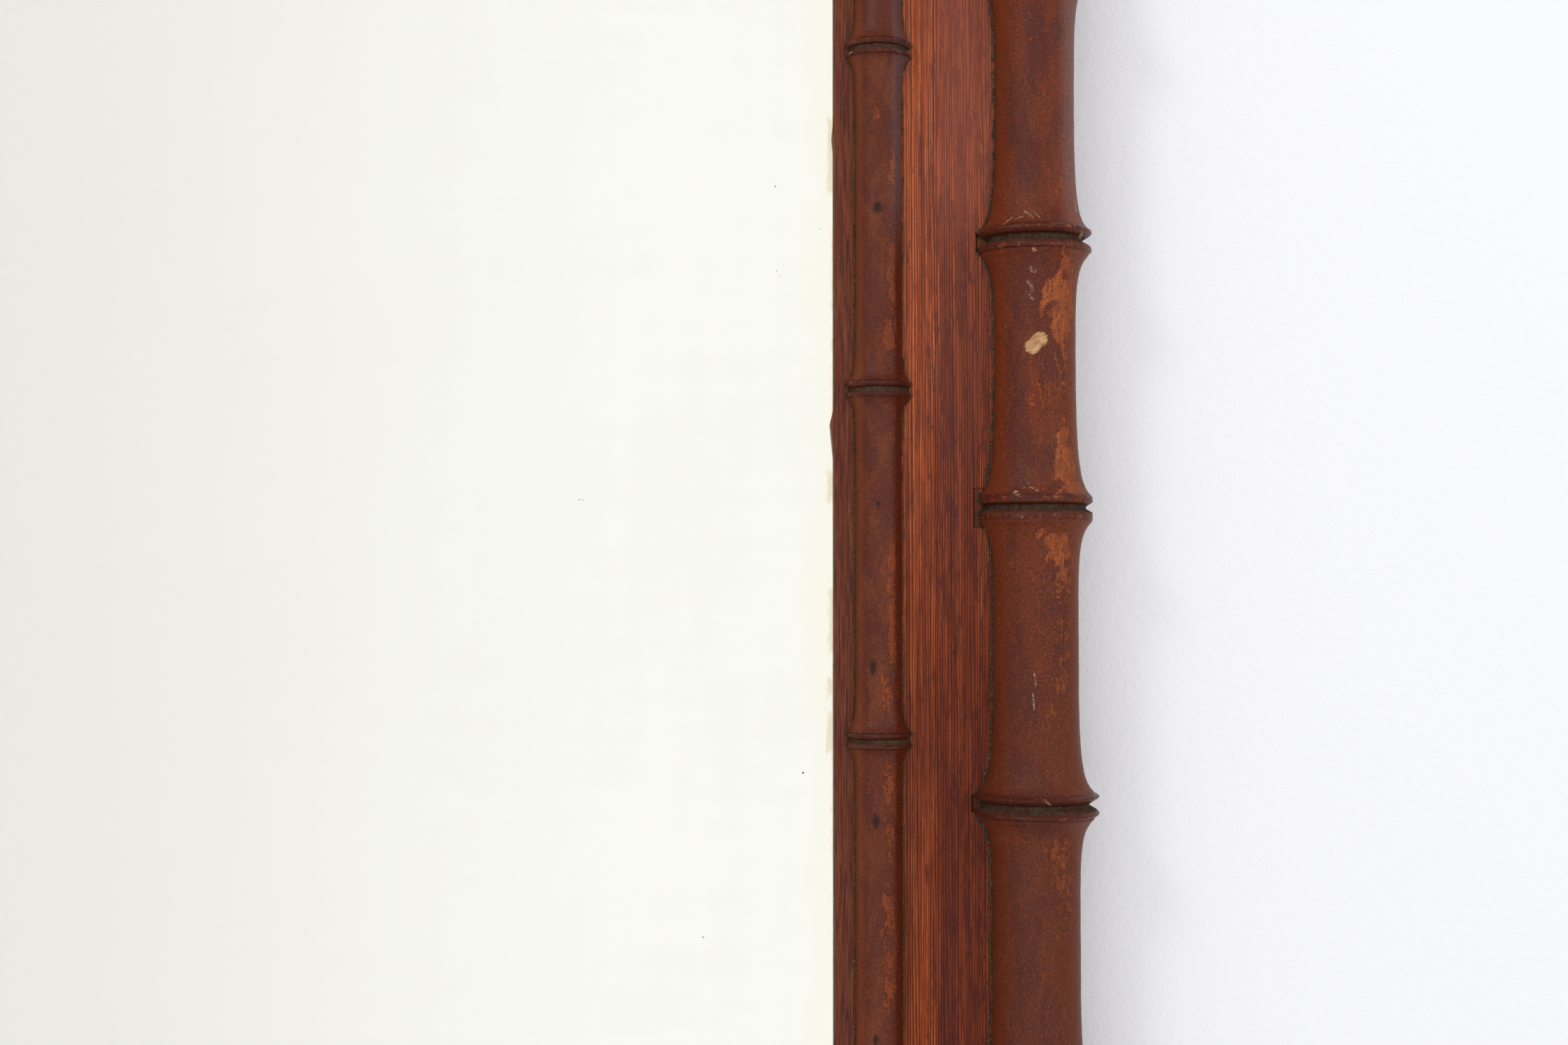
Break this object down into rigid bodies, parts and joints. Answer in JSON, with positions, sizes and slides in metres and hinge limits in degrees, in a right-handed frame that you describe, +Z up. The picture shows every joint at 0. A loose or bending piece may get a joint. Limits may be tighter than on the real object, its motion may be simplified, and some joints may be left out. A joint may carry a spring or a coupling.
{
  "type": "framed wall mirror",
  "caption": "Tall rectangular wall mirror in a flat pine frame, edged with turned wood that copies jointed bamboo canes, with a narrow jointed bead round the glass.",
  "frame": {"origin": "middle of the back, on the backboard's face that lies against the wall", "axes": "+Z up along the frame's height, +X to the right seen from the front, the glass faces -Y and +Y points into the wall"},
  "size_m": [0.603, 0.0555, 0.732],
  "materials": {
    "board_pine": "stained and waxed pine, worn satin",
    "cane_wood": "dark stain, rubbed through on the high places",
    "bead_wood": "dark red stain, rubbed through on the crest",
    "glass": "old clear plate",
    "silvering": "aged silver, warm and slightly foxed",
    "back_pine": "bare pine, greyed with age",
    "block_wood": "bare pine with old glue",
    "nail_iron": "dark iron with a little rust",
    "hanger_brass": "dull tarnished brass"
  },
  "bodies": {
    "frame": {"back_plank_1": "back_pine", "back_plank_2": "back_pine", "back_plank_3": "back_pine", "backboard_nails": "nail_iron", "bottom_bead": "bead_wood", "bottom_cane": "cane_wood", "bottom_cane_nails": "nail_iron", "bottom_glue_blocks": "block_wood", "bottom_rail": "board_pine", "hanger_nails": "nail_iron", "hanger_strap": "hanger_brass", "left_bead": "bead_wood", "left_cane": "cane_wood", "left_cane_nails": "nail_iron", "left_glue_blocks": "block_wood", "left_stile": "board_pine", "mirror_glass": "glass", "right_bead": "bead_wood", "right_cane": "cane_wood", "right_cane_nails": "nail_iron", "right_glue_blocks": "block_wood", "right_stile": "board_pine", "silvering": "silvering", "tenon_pegs": "back_pine", "top_bead": "bead_wood", "top_cane": "cane_wood", "top_cane_nails": "nail_iron", "top_glue_blocks": "block_wood", "top_rail": "board_pine"},
    "ring": {"hanger_ring": "hanger_brass"}
  },
  "joints": [
    {"name": "ring_swing", "type": "hinge", "parent": "frame", "child": "ring", "pos_m": [0, -0.00372, 0.293], "axis": [1, 0, 0], "range_deg": [0, 165]}
  ]
}
